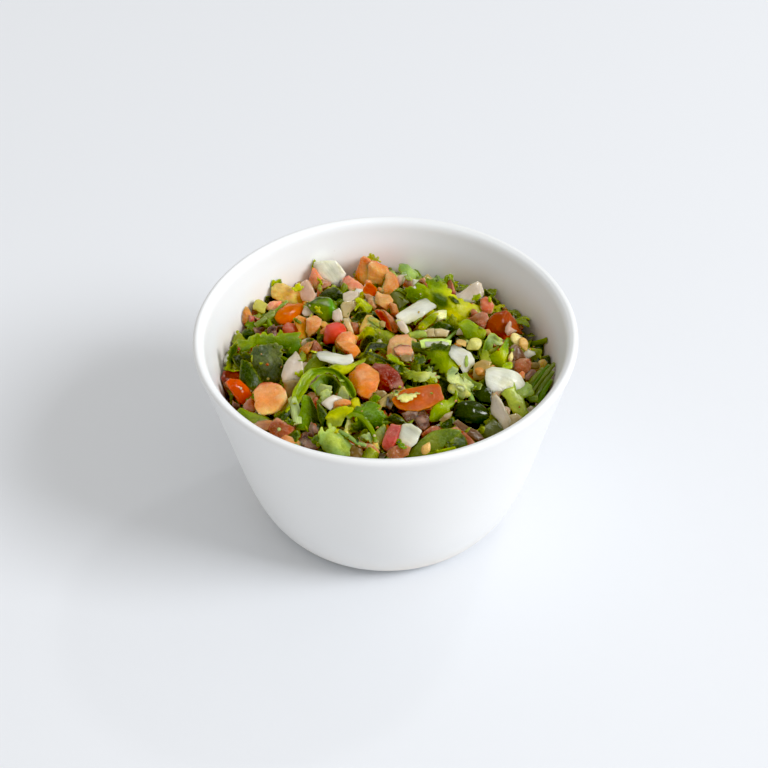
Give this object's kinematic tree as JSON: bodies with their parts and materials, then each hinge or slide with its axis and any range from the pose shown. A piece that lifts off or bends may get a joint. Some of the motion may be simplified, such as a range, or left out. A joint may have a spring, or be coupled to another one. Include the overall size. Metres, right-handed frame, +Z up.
{
  "type": "dish of pico de gallo",
  "caption": "Small white glazed bowl with flaring sides, filled with a low mound of pico de gallo: diced tomato, onion and green chilli with chopped coriander leaves and stems.",
  "frame": {"origin": "on the table under the middle of the bowl's foot", "axes": "+Z up through the bowl's axis; -Y is the side that the picture shows in front"},
  "size_m": [0.11, 0.11, 0.0645],
  "materials": {
    "porcelain": "gloss",
    "pico": "satin",
    "tomato": "gloss",
    "onion": "gloss",
    "leaf": "satin",
    "chilli": "gloss",
    "seed": "satin"
  },
  "bodies": {
    "root": {"bowl": "porcelain", "pico_heap": "pico"}
  },
  "joints": []
}
